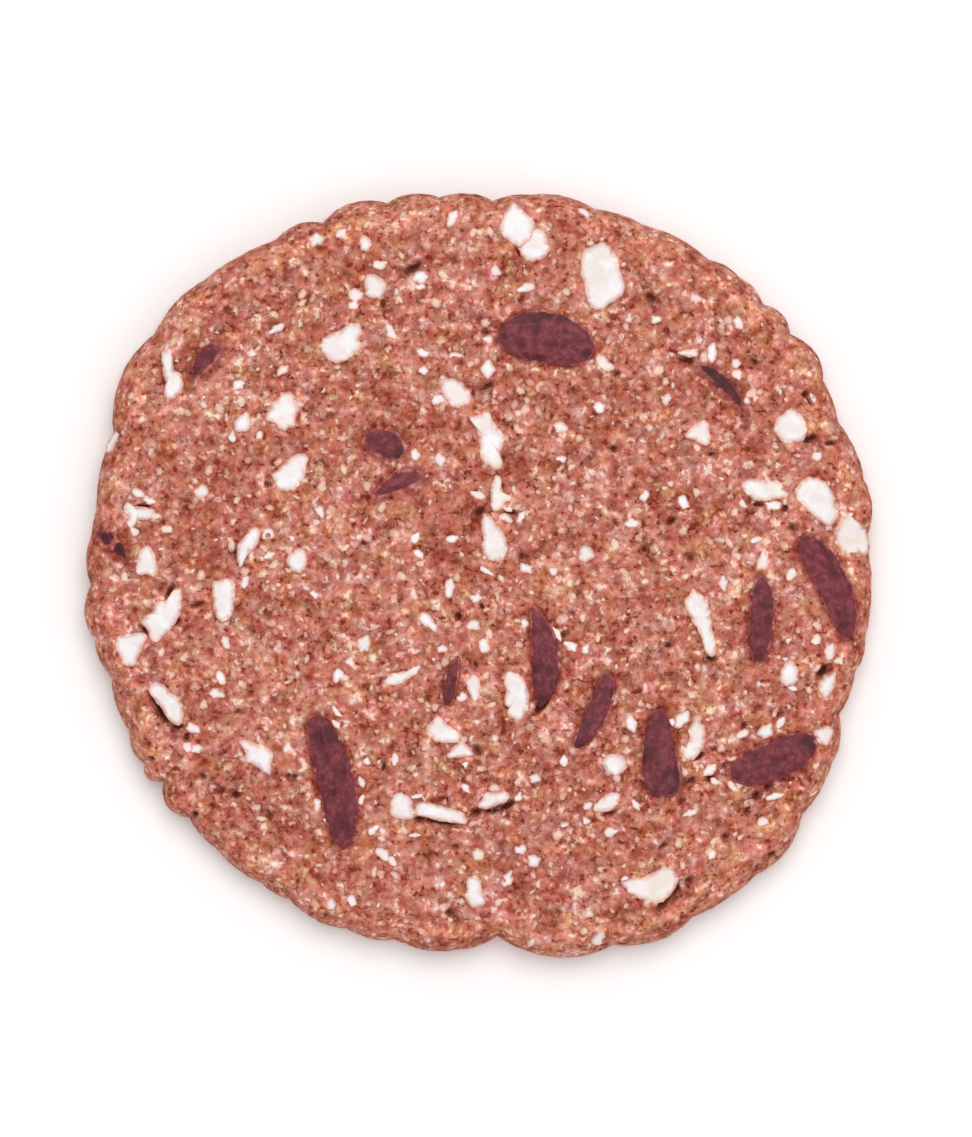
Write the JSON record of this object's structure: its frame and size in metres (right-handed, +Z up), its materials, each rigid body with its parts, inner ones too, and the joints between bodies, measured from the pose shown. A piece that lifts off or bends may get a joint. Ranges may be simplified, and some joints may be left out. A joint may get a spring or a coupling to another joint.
{
  "type": "oat cookie",
  "caption": "Round flat oat cookie with a lobed, rounded rim, chopped nuts fused into its top and dried fruit pieces set flush in it.",
  "frame": {"origin": "middle of the cookie's footprint, on the surface it lies on", "axes": "+Z up through the cookie's thickness, +Y towards the top of the picture, +X to its right"},
  "size_m": [0.088, 0.0853, 0.0088],
  "materials": {
    "dough": "matt baked crumb",
    "raisin": "satin dried fruit skin",
    "nut": "satin cut nut"
  },
  "bodies": {
    "root": {"cookie": "dough", "raisin_01": "raisin", "raisin_02": "raisin", "raisin_03": "raisin", "raisin_04": "raisin", "raisin_05": "raisin", "raisin_06": "raisin", "raisin_07": "raisin", "raisin_08": "raisin", "raisin_09": "raisin", "raisin_10": "raisin", "raisin_11": "raisin", "raisin_12": "raisin", "raisin_13": "raisin", "raisin_14": "raisin"}
  },
  "joints": []
}
